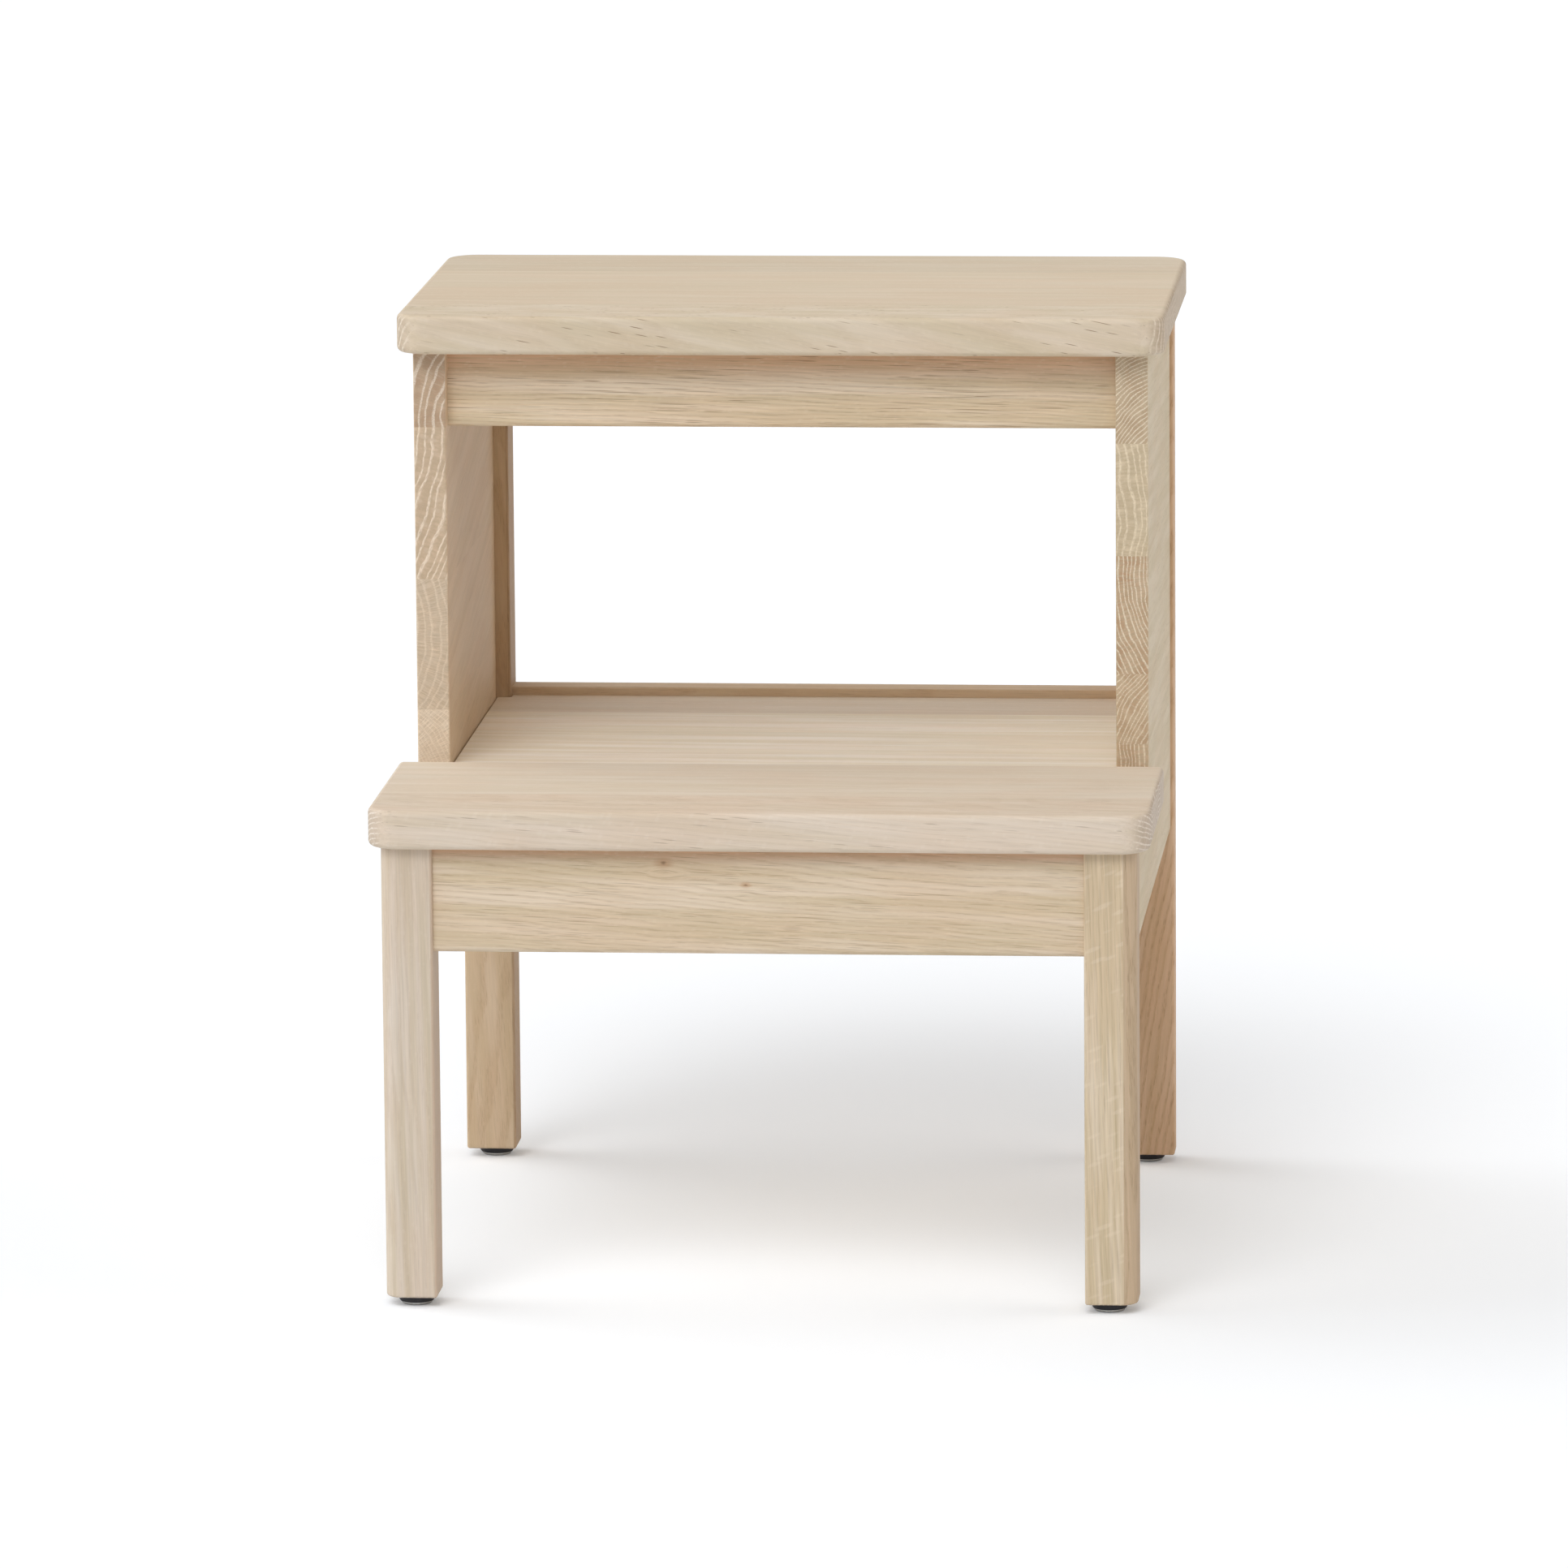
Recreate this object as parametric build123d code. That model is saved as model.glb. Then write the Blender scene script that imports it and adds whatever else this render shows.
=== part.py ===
from build123d import *
import os

# A two-step stool in solid oak. Millimetres, +X right, +Y to the rear, +Z up.
# The origin is on the floor at the middle of the footprint.

# Overall sizes
TREAD_WIDTH = 400
OVERALL_DEPTH = 412
OVERALL_HEIGHT = 494
LOWER_STEP_HEIGHT = 260

# Treads
TREAD_THICKNESS = 20
LOWER_TREAD_DEPTH = 152
UPPER_TREAD_DEPTH = OVERALL_DEPTH - LOWER_TREAD_DEPTH
TREAD_CORNER_RADIUS = 17
LOWER_REAR_CORNER_RADIUS = 3
TREAD_EDGE_RADIUS = 2.8

# Legs
LEG_SIZE = 27
TREAD_SIDE_OVERHANG = 6.5
LEG_FRONT_SETBACK = 6.5
LEG_OUTER_RADIUS = 9
LEG_EDGE_RADIUS = 1.5
LEG_FOOT_RADIUS = 1.4

# Side panels
PANEL_THICKNESS = 17
PANEL_OUTER_INSET = 2
PANEL_FRONT_SETBACK = 12.5
FRAME_BOTTOM = 185.5
PANEL_EDGE_RADIUS = 1

# Aprons, rails and shelf
APRON_THICKNESS = 17
LOWER_APRON_RECESS = 3
UPPER_APRON_RECESS = 9
UPPER_APRON_HEIGHT = 40.5
APRON_EDGE_RADIUS = 3
REAR_RAIL_INSET = 3
SHELF_DROP = 4.5
SHELF_THICKNESS = 17
SHELF_FRONT_GAP = 1
SHELF_END_GAP = 0.4
SHELF_CORNER_RADIUS = 3
SHELF_EDGE_RADIUS = 1

# Glides
GLIDE_HEIGHT = 5
GLIDE_INWARD_SHIFT = 1.5
CUSHION_TOP_RADIUS = 9.6
CUSHION_BOTTOM_RADIUS = 8.6
CUSHION_BULGE = 0.3
CAP_RADIUS = 7.9
CAP_THICKNESS = 2.0
CAP_EDGE_RADIUS = 1.1
CAP_SEAT_DEPTH = 0.4
NAIL_RADIUS = 1.1
NAIL_LENGTH = 18
NAIL_POINT = 3

# Dowels and screws
DOWEL_RADIUS = 4
DOWEL_LENGTH = 30
DOWEL_CHAMFER = 1
PANEL_DOWEL_SHARE_IN_LEG = 15
CROSS_DOWEL_SHARE_IN_SIDE = 11
GLUE_GAP = 0.1
BORE_RELIEF = 0.5
UPPER_DOWEL_MARGIN = 10
LOWER_DOWEL_MARGIN = 15
SHELF_DOWEL_MARGIN = 40
POST_DOWEL_PITCH = 51
POST_DOWEL_COUNT = 6
SCREW_SHANK_RADIUS = 2.5
SCREW_HEAD_RADIUS = 4.5
SCREW_HEAD_HEIGHT = 3.2
SCREW_LENGTH = 50
SCREW_BITE = 14
SCREW_POINT = 4
SCREW_SOCKET_WIDTH = 3
SCREW_SOCKET_DEPTH = 2
APRON_SCREW_SPACING = 200
PANEL_SCREW_MARGIN = 30
COUNTERBORE_RADIUS = 5.5
COUNTERBORE_REACH = 30

# Planes worked out from the sizes above
FRONT = -OVERALL_DEPTH / 2
REAR = OVERALL_DEPTH / 2
UPPER_TREAD_FRONT = REAR - UPPER_TREAD_DEPTH
UPPER_UNDERSIDE = OVERALL_HEIGHT - TREAD_THICKNESS
LOWER_UNDERSIDE = LOWER_STEP_HEIGHT - TREAD_THICKNESS
LEG_OUTER_X = TREAD_WIDTH / 2 - TREAD_SIDE_OVERHANG
LEG_INNER_X = LEG_OUTER_X - LEG_SIZE
FRONT_LEG_FRONT = FRONT + LEG_FRONT_SETBACK
FRONT_LEG_REAR = FRONT_LEG_FRONT + LEG_SIZE
REAR_LEG_FRONT = REAR - LEG_SIZE
PANEL_OUTER_X = LEG_OUTER_X - PANEL_OUTER_INSET
PANEL_INNER_X = PANEL_OUTER_X - PANEL_THICKNESS
PANEL_MIDDLE_X = (PANEL_OUTER_X + PANEL_INNER_X) / 2
PANEL_FRONT = UPPER_TREAD_FRONT + PANEL_FRONT_SETBACK
UPPER_APRON_FRONT = PANEL_FRONT + UPPER_APRON_RECESS
UPPER_APRON_BOTTOM = UPPER_UNDERSIDE - UPPER_APRON_HEIGHT
LOWER_APRON_FRONT = FRONT_LEG_FRONT + LOWER_APRON_RECESS
REAR_RAIL_REAR = REAR - REAR_RAIL_INSET
REAR_RAIL_FRONT = REAR_RAIL_REAR - APRON_THICKNESS
SHELF_TOP = LOWER_STEP_HEIGHT - SHELF_DROP
SHELF_MIDDLE_Z = SHELF_TOP - SHELF_THICKNESS / 2
SHELF_FRONT = FRONT + LOWER_TREAD_DEPTH + SHELF_FRONT_GAP
SIDES = {"left": -1, "right": 1}
ROWS = {"front": FRONT_LEG_FRONT + LEG_SIZE / 2, "rear": REAR_LEG_FRONT + LEG_SIZE / 2}

# Pins are made standing on the origin along +Z; these turns lay them on their side
STANDING = (Align.CENTER, Align.CENTER, Align.MIN)
TO_RIGHT = (0, 90, 0)
TO_LEFT = (0, -90, 0)
TO_REAR = (-90, 0, 0)
TO_FRONT = (90, 0, 0)


def block(x_span, y_span, z_span):
    """A square-edged block between three (low, high) spans."""
    low = (x_span[0], y_span[0], z_span[0])
    size = (x_span[1] - x_span[0], y_span[1] - y_span[0], z_span[1] - z_span[0])
    return Pos(*low) * Box(*size, align=(Align.MIN, Align.MIN, Align.MIN))


def side_span(sign, near, far):
    """The x span from near to far out from the middle, on one side."""
    return tuple(sorted((sign * near, sign * far)))


def edges_at(solid, direction, **planes):
    """Straight edges along a direction whose middles lie on the given x, y or z planes."""
    found = solid.edges().filter_by(direction)
    for letter, place in planes.items():
        axis = {"x": 0, "y": 1, "z": 2}[letter]
        found = found.filter_by(lambda edge: abs(tuple(edge.center())[axis] - place) < 0.01)
    return found


def tread(depth, front_y, top_z, rear_radius):
    """A board with rounded plan corners and eased top and bottom edges."""
    blank = block((-TREAD_WIDTH / 2, TREAD_WIDTH / 2), (front_y, front_y + depth),
                  (top_z - TREAD_THICKNESS, top_z))
    blank = fillet(edges_at(blank, Axis.Z, y=front_y), TREAD_CORNER_RADIUS)
    blank = fillet(edges_at(blank, Axis.Z, y=front_y + depth), rear_radius)
    rims = blank.faces().filter_by(Axis.Z).edges()
    return fillet(rims, TREAD_EDGE_RADIUS)


def leg(sign, row):
    """A square post with a large radius on its outer corner and an eased foot."""
    front_y = ROWS[row] - LEG_SIZE / 2
    rear_y = front_y + LEG_SIZE
    top_z = LOWER_UNDERSIDE if row == "front" else UPPER_UNDERSIDE
    outer_y, inner_y = (front_y, rear_y) if row == "front" else (rear_y, front_y)
    outer_x = sign * LEG_OUTER_X
    post = block(side_span(sign, LEG_INNER_X, LEG_OUTER_X), (front_y, rear_y), (GLIDE_HEIGHT, top_z))
    post = fillet(edges_at(post, Axis.Z, x=outer_x, y=outer_y), LEG_OUTER_RADIUS)
    small_corners = edges_at(post, Axis.Z, x=sign * LEG_INNER_X)
    small_corners += edges_at(post, Axis.Z, x=outer_x, y=inner_y)
    post = fillet(small_corners, LEG_EDGE_RADIUS)
    return fillet(post.faces().sort_by(Axis.Z)[0].edges(), LEG_FOOT_RADIUS)


def side_panel(sign):
    """An L-shaped side: a full-depth lower rail with the upper side standing on its rear part."""
    x_span = side_span(sign, PANEL_INNER_X, PANEL_OUTER_X)
    lower = block(x_span, (FRONT_LEG_REAR, REAR_LEG_FRONT), (FRAME_BOTTOM, LOWER_UNDERSIDE))
    upper = block(x_span, (PANEL_FRONT, REAR_LEG_FRONT), (FRAME_BOTTOM, UPPER_UNDERSIDE))
    panel = lower + upper
    eased = edges_at(panel, Axis.Z, y=PANEL_FRONT) + edges_at(panel, Axis.Y, z=FRAME_BOTTOM)
    return fillet(eased, PANEL_EDGE_RADIUS)


def cross_rail(half_length, front_y, z_span):
    """A rail along X between the two sides, with its lower edges rounded."""
    rail = block((-half_length, half_length), (front_y, front_y + APRON_THICKNESS), z_span)
    return fillet(edges_at(rail, Axis.X, z=z_span[0]), APRON_EDGE_RADIUS)


def shelf_rear_rail():
    """The rail behind the shelf, eased on the top edge that stands proud as a lip."""
    rail = cross_rail(LEG_INNER_X, REAR_RAIL_FRONT, (FRAME_BOTTOM, LOWER_STEP_HEIGHT))
    return fillet(edges_at(rail, Axis.X, z=LOWER_STEP_HEIGHT), PANEL_EDGE_RADIUS)


def shelf():
    """The board between the side panels, notched round the rear legs."""
    half_width = PANEL_INNER_X - SHELF_END_GAP
    z_span = (SHELF_TOP - SHELF_THICKNESS, SHELF_TOP)
    board = block((-half_width, half_width), (SHELF_FRONT, REAR_RAIL_FRONT), z_span)
    for sign in SIDES.values():
        notch_x = side_span(sign, LEG_INNER_X - SHELF_END_GAP, PANEL_OUTER_X)
        board -= block(notch_x, (REAR_LEG_FRONT - SHELF_END_GAP, REAR), z_span)
    front_corners = edges_at(board, Axis.Z, y=SHELF_FRONT)
    board = fillet(front_corners, SHELF_CORNER_RADIUS)
    return fillet(edges_at(board, Axis.X, y=SHELF_FRONT), SHELF_EDGE_RADIUS)


def pin(radius, length, chamfer_size=0):
    """A cylinder from the origin along +Z, with chamfered ends."""
    body = Cylinder(radius, length, align=STANDING)
    if chamfer_size:
        body = chamfer(body.edges().filter_by(GeomType.CIRCLE), chamfer_size)
    return body


def tip(radius, length):
    """The blunt point of a screw or nail, from the origin along +Z."""
    return Cone(radius, radius / 4, length, align=STANDING)


def joint_dowels():
    """Every dowel place, by node name: each starts inside the leg or panel that it is driven into."""
    upper_apron_y = UPPER_APRON_FRONT + APRON_THICKNESS / 2
    lower_apron_y = LOWER_APRON_FRONT + APRON_THICKNESS / 2
    rear_rail_y = REAR_RAIL_FRONT + APRON_THICKNESS / 2
    upper_heights = (UPPER_APRON_BOTTOM + UPPER_DOWEL_MARGIN, UPPER_UNDERSIDE - UPPER_DOWEL_MARGIN)
    lower_heights = (FRAME_BOTTOM + LOWER_DOWEL_MARGIN, LOWER_UNDERSIDE - LOWER_DOWEL_MARGIN)
    shelf_rail_heights = (FRAME_BOTTOM + LOWER_DOWEL_MARGIN, LOWER_STEP_HEIGHT - LOWER_DOWEL_MARGIN)
    shelf_depths = (SHELF_FRONT + SHELF_DOWEL_MARGIN,
                    (SHELF_FRONT + REAR_LEG_FRONT) / 2,
                    REAR_LEG_FRONT - SHELF_DOWEL_MARGIN)
    post_heights = [FRAME_BOTTOM + LOWER_DOWEL_MARGIN + POST_DOWEL_PITCH * step
                    for step in range(POST_DOWEL_COUNT)]
    cross_joints = {
        "upper_apron_dowels": (PANEL_INNER_X, [(upper_apron_y, z) for z in upper_heights]),
        "upper_rail_dowels": (LEG_INNER_X, [(rear_rail_y, z) for z in upper_heights]),
        "lower_apron_dowels": (LEG_INNER_X, [(lower_apron_y, z) for z in lower_heights]),
        "shelf_rail_dowels": (LEG_INNER_X, [(rear_rail_y, z) for z in shelf_rail_heights]),
        "shelf_dowels": (PANEL_INNER_X, [(y, SHELF_MIDDLE_Z) for y in shelf_depths]),
    }
    dowels = {}
    for name, (joint_x, points) in cross_joints.items():
        start_x = joint_x + CROSS_DOWEL_SHARE_IN_SIDE
        dowels[name] = [Location((-start_x, y, z), TO_RIGHT) for y, z in points]
        dowels[name] += [Location((start_x, y, z), TO_LEFT) for y, z in points]
    for side, sign in SIDES.items():
        x = sign * PANEL_MIDDLE_X
        front_start = FRONT_LEG_REAR - PANEL_DOWEL_SHARE_IN_LEG
        rear_start = REAR_LEG_FRONT + PANEL_DOWEL_SHARE_IN_LEG
        name = f"{side}_panel_dowels"
        dowels[name] = [Location((x, front_start, z), TO_REAR) for z in lower_heights]
        dowels[name] += [Location((x, rear_start, z), TO_FRONT) for z in post_heights]
    return dowels


def dowel_group(places):
    """The dowels of one joint, as separate solids."""
    return Compound(children=[place * pin(DOWEL_RADIUS, DOWEL_LENGTH, DOWEL_CHAMFER) for place in places])


def bored(piece, places):
    """The piece with the bores of every dowel that reaches into it."""
    bore = pin(DOWEL_RADIUS + GLUE_GAP, DOWEL_LENGTH + 2 * BORE_RELIEF)
    for place in places:
        piece -= place * Pos(0, 0, -BORE_RELIEF) * bore
    return piece


def screw():
    """A pan-head screw with its point up at the origin's +Z end and a square-drive socket below."""
    shank = pin(SCREW_SHANK_RADIUS, SCREW_LENGTH - SCREW_POINT)
    point = Pos(0, 0, SCREW_LENGTH - SCREW_POINT) * tip(SCREW_SHANK_RADIUS, SCREW_POINT)
    head = Pos(0, 0, -SCREW_HEAD_HEIGHT) * pin(SCREW_HEAD_RADIUS, SCREW_HEAD_HEIGHT)
    head = fillet(head.edges().filter_by(GeomType.CIRCLE).sort_by(Axis.Z)[0], SCREW_HEAD_HEIGHT / 2)
    socket = Box(SCREW_SOCKET_WIDTH, SCREW_SOCKET_WIDTH, SCREW_SOCKET_DEPTH, align=STANDING)
    return shank + point + head - Pos(0, 0, -SCREW_HEAD_HEIGHT) * socket


def screw_places():
    """The seats of the screws' heads, by node name: each screw bites SCREW_BITE into its tread."""
    under_head = SCREW_LENGTH - SCREW_BITE
    upper_apron_y = UPPER_APRON_FRONT + APRON_THICKNESS / 2
    lower_apron_y = LOWER_APRON_FRONT + APRON_THICKNESS / 2
    rear_rail_y = REAR_RAIL_FRONT + APRON_THICKNESS / 2
    panel_screw_y = FRONT + LOWER_TREAD_DEPTH - PANEL_SCREW_MARGIN
    apron_screws_x = (-APRON_SCREW_SPACING / 2, APRON_SCREW_SPACING / 2)
    upper = [(x, y) for x in apron_screws_x for y in (upper_apron_y, rear_rail_y)]
    lower = [(x, lower_apron_y) for x in apron_screws_x]
    lower += [(sign * PANEL_MIDDLE_X, panel_screw_y) for sign in SIDES.values()]
    return {
        "upper_tread_screws": [Location((x, y, UPPER_UNDERSIDE - under_head)) for x, y in upper],
        "lower_tread_screws": [Location((x, y, LOWER_UNDERSIDE - under_head)) for x, y in lower],
    }


def screw_group(places):
    """The screws of one tread, as separate solids."""
    return Compound(children=[place * screw() for place in places])


def drilled(piece, places):
    """The piece with the screws' shank holes above their seats and the counterbores below them."""
    shank_hole = pin(SCREW_SHANK_RADIUS + GLUE_GAP, SCREW_LENGTH + BORE_RELIEF)
    counterbore = Pos(0, 0, -COUNTERBORE_REACH) * pin(COUNTERBORE_RADIUS, COUNTERBORE_REACH)
    for place in places:
        piece -= place * shank_hole
        piece -= place * counterbore
    return piece


def glide_cushion():
    """A black nylon cup: a tapered ring with a seat for the steel cap, centred on the origin."""
    bottom_z = CAP_THICKNESS - CAP_SEAT_DEPTH
    seat_radius = CAP_RADIUS + GLUE_GAP
    hole_radius = NAIL_RADIUS + GLUE_GAP
    top = (CUSHION_TOP_RADIUS, GLIDE_HEIGHT)
    middle = ((CUSHION_TOP_RADIUS + CUSHION_BOTTOM_RADIUS) / 2 + CUSHION_BULGE, (GLIDE_HEIGHT + bottom_z) / 2)
    bottom = (CUSHION_BOTTOM_RADIUS, bottom_z)
    with BuildPart() as cup:
        with BuildSketch(Plane.XZ):
            with BuildLine():
                ThreePointArc(top, middle, bottom)
                Polyline(bottom, (seat_radius, bottom_z), (seat_radius, CAP_THICKNESS),
                         (hole_radius, CAP_THICKNESS), (hole_radius, GLIDE_HEIGHT), top)
            make_face()
        revolve(axis=Axis.Z)
    return cup.part


def glide_cap():
    """A domed steel runner with its nail, resting on the floor at the origin."""
    disc = pin(CAP_RADIUS, CAP_THICKNESS)
    disc = fillet(disc.edges().filter_by(GeomType.CIRCLE).sort_by(Axis.Z)[0], CAP_EDGE_RADIUS)
    nail = Pos(0, 0, CAP_THICKNESS) * pin(NAIL_RADIUS, NAIL_LENGTH)
    point = Pos(0, 0, CAP_THICKNESS + NAIL_LENGTH) * tip(NAIL_RADIUS, NAIL_POINT)
    return disc + nail + point


def glide_place(sign, row):
    """Where a leg's glide stands on the floor."""
    leg_middle_x = LEG_OUTER_X - LEG_SIZE / 2
    return Pos(sign * (leg_middle_x - GLIDE_INWARD_SHIFT), ROWS[row], 0)


def nail_bored(post, sign, row):
    """The leg with the hole of its glide's nail."""
    hole = pin(NAIL_RADIUS + GLUE_GAP, CAP_THICKNESS + NAIL_LENGTH + NAIL_POINT + BORE_RELIEF)
    return post - glide_place(sign, row) * hole


def make_nodes():
    """Every node of the stool, by name."""
    dowels = joint_dowels()
    screws = screw_places()
    nodes = {name: dowel_group(places) for name, places in dowels.items()}
    nodes.update({name: screw_group(places) for name, places in screws.items()})

    nodes["upper_tread"] = drilled(
        tread(UPPER_TREAD_DEPTH, UPPER_TREAD_FRONT, OVERALL_HEIGHT, TREAD_CORNER_RADIUS),
        screws["upper_tread_screws"])
    nodes["lower_tread"] = drilled(
        tread(LOWER_TREAD_DEPTH, FRONT, LOWER_STEP_HEIGHT, LOWER_REAR_CORNER_RADIUS),
        screws["lower_tread_screws"])
    nodes["upper_front_apron"] = drilled(
        bored(cross_rail(PANEL_INNER_X, UPPER_APRON_FRONT, (UPPER_APRON_BOTTOM, UPPER_UNDERSIDE)),
              dowels["upper_apron_dowels"]),
        screws["upper_tread_screws"])
    nodes["upper_rear_rail"] = drilled(
        bored(cross_rail(LEG_INNER_X, REAR_RAIL_FRONT, (UPPER_APRON_BOTTOM, UPPER_UNDERSIDE)),
              dowels["upper_rail_dowels"]),
        screws["upper_tread_screws"])
    nodes["lower_front_apron"] = drilled(
        bored(cross_rail(LEG_INNER_X, LOWER_APRON_FRONT, (FRAME_BOTTOM, LOWER_UNDERSIDE)),
              dowels["lower_apron_dowels"]),
        screws["lower_tread_screws"])
    nodes["shelf_rear_rail"] = bored(shelf_rear_rail(), dowels["shelf_rail_dowels"])
    nodes["shelf"] = bored(shelf(), dowels["shelf_dowels"])

    for side, sign in SIDES.items():
        panel_joints = dowels[f"{side}_panel_dowels"]
        panel_bores = panel_joints + dowels["upper_apron_dowels"] + dowels["shelf_dowels"]
        nodes[f"{side}_side_panel"] = drilled(bored(side_panel(sign), panel_bores),
                                              screws["lower_tread_screws"])
        leg_bores = {
            "front": panel_joints + dowels["lower_apron_dowels"],
            "rear": panel_joints + dowels["upper_rail_dowels"] + dowels["shelf_rail_dowels"],
        }
        for row in ROWS:
            post = bored(leg(sign, row), leg_bores[row])
            nodes[f"{row}_{side}_leg"] = nail_bored(post, sign, row)
            nodes[f"{row}_{side}_glide_cushion"] = glide_place(sign, row) * glide_cushion()
            nodes[f"{row}_{side}_glide_cap"] = glide_place(sign, row) * glide_cap()
    return nodes


os.makedirs("parts", exist_ok=True)
for node_name, node_shape in make_nodes().items():
    export_step(node_shape, f"parts/{node_name}.step")
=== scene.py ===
"""The looks of the step stool: matte oiled oak, black and nickel glides, a white studio."""
import math

import bpy
from mathutils import Matrix, Vector


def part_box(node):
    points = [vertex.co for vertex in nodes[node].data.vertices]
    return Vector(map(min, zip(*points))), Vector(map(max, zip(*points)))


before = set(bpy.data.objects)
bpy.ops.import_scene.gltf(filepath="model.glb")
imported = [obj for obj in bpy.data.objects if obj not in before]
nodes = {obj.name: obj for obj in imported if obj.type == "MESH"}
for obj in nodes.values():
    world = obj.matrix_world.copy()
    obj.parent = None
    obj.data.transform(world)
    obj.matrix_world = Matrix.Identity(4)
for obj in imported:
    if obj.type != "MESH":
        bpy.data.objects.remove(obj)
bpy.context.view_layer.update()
scene = bpy.context.scene


# ---------------------------------------------------------------- node helpers

class Graph:
    """A short way to write a node tree: each method adds a node and returns its output socket."""

    def __init__(self, tree):
        self.tree = tree

    def node(self, kind, **settings):
        made = self.tree.nodes.new(kind)
        for name, value in settings.items():
            setattr(made, name, value)
        return made

    def feed(self, socket, value):
        if isinstance(value, bpy.types.NodeSocket):
            self.tree.links.new(value, socket)
        elif value is not None:
            socket.default_value = value

    def math(self, operation, a, b=None, c=None):
        made = self.node("ShaderNodeMath", operation=operation)
        for socket, value in zip(made.inputs, (a, b, c)):
            self.feed(socket, value)
        return made.outputs[0]

    def add(self, *values):
        result = values[0]
        for value in values[1:]:
            result = self.math("ADD", result, value)
        return result

    def subtract(self, a, b):
        return self.math("SUBTRACT", a, b)

    def times(self, *values):
        result = values[0]
        for value in values[1:]:
            result = self.math("MULTIPLY", result, value)
        return result

    def divide(self, a, b):
        return self.math("DIVIDE", a, b)

    def vector_math(self, operation, a, b=None):
        made = self.node("ShaderNodeVectorMath", operation=operation)
        self.feed(made.inputs[0], a)
        self.feed(made.inputs[1], b)
        return made.outputs["Value" if operation in ("LENGTH", "DOT_PRODUCT") else "Vector"]

    def split(self, vector):
        made = self.node("ShaderNodeSeparateXYZ")
        self.feed(made.inputs[0], vector)
        return made.outputs[0], made.outputs[1], made.outputs[2]

    def join(self, x, y, z):
        made = self.node("ShaderNodeCombineXYZ")
        for socket, value in zip(made.inputs, (x, y, z)):
            self.feed(socket, value)
        return made.outputs[0]

    def noise(self, vector, detail=2.0):
        """Soft noise, from 0 to 1, whose features are about one unit across."""
        made = self.node("ShaderNodeTexNoise", noise_dimensions="3D")
        self.feed(made.inputs["Vector"], vector)
        self.feed(made.inputs["Scale"], 1.0)
        self.feed(made.inputs["Detail"], detail)
        return made.outputs[0]

    def cells(self, vector):
        """The distance to the nearest of scattered points, about one to each unit cube."""
        made = self.node("ShaderNodeTexVoronoi", feature="F1")
        self.feed(made.inputs["Vector"], vector)
        self.feed(made.inputs["Scale"], 1.0)
        return made.outputs["Distance"]

    def span(self, value, low, high, to_low=0.0, to_high=1.0):
        """value moved smoothly from the range low to high into the range to_low to to_high."""
        made = self.node("ShaderNodeMapRange", clamp=True, interpolation_type="SMOOTHSTEP")
        for socket, number in zip(made.inputs, (value, low, high, to_low, to_high)):
            self.feed(socket, number)
        return made.outputs[0]

    def steps(self, place, joints, values):
        """The value of the stave that place is in: values has one more entry than joints."""
        result = values[0]
        for joint, before, after in zip(joints, values, values[1:]):
            if after != before:
                beyond = self.math("GREATER_THAN", place, joint)
                result = self.math("MULTIPLY_ADD", beyond, after - before, result)
        return result

    def mix(self, factor, a, b, blend="MIX"):
        made = self.node("ShaderNodeMix", data_type="RGBA", blend_type=blend, clamp_factor=True)
        self.feed(made.inputs[0], factor)
        self.feed(made.inputs[6], a)
        self.feed(made.inputs[7], b)
        return made.outputs[2]

    def bump(self, height, distance, strength=1.0):
        made = self.node("ShaderNodeBump")
        self.feed(made.inputs["Height"], height)
        self.feed(made.inputs["Distance"], distance)
        self.feed(made.inputs["Strength"], strength)
        return made.outputs[0]


def linear(red, green, blue):
    """A colour given in 0 to 255 screen values, as the renderer's linear values."""
    def channel(value):
        share = value / 255
        return share / 12.92 if share <= 0.04045 else ((share + 0.055) / 1.055) ** 2.4
    return channel(red), channel(green), channel(blue), 1.0


def new_material(name):
    """A new material, with a graph for its node tree and its surface shader."""
    material = bpy.data.materials.new(name)
    material.use_nodes = True
    surface = material.node_tree.nodes["Principled BSDF"]
    return material, Graph(material.node_tree), surface


def dress(node, material):
    """Puts one material on every slot of a CAD node."""
    mesh = nodes[node].data
    mesh.materials.clear()
    mesh.materials.append(material)


# ------------------------------------------------------------------------ oak
# Lengths and sizes are in millimetres. A size of three is along the fibres, then twice across them.
# A pair with SPAN in its name is where a value starts and ends its smooth change.

MM_PER_METRE = 1000.0
GRAIN_AXES = {"X": (0, 1, 2), "Y": (1, 0, 2), "Z": (2, 0, 1)}
STAVE = dict(pith=(20, -90), ring=2.4, drift=(0.0, 0.0), tone=1.0, warm=0.0, early=0.5, line=0.3, dash=0.3,
             ray=0.3, streak=0.8, rings=0.9, end_tone=1.0, end_red=0.25, end_pale=0.0)

# What the base colour of a board is multiplied by, in each kind of wood.
IVORY = (1.05, 1.06, 1.08, 1.0)
KHAKI = (0.95, 0.93, 0.84, 1.0)
WARM = (0.99, 0.90, 0.82, 1.0)
EARLYWOOD = (0.80, 0.70, 0.58, 1.0)
RAY = (1.12, 1.13, 1.15, 1.0)
PORE = (0.40, 0.30, 0.22, 1.0)
# Painted shade: the darker, redder tint of a board's top edge where a tread overhangs it.
PAINTED_SHADE = (0.88, 0.66, 0.53, 1.0)
END_GROUND = (0.78, 0.75, 0.70, 1.0)
END_RED = (0.76, 0.57, 0.47, 1.0)
END_WEAVE = (0.70, 0.65, 0.58, 1.0)
END_LINE = (1.16, 1.20, 1.27, 1.0)
KNOT = (0.74, 0.56, 0.44, 1.0)

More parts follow.
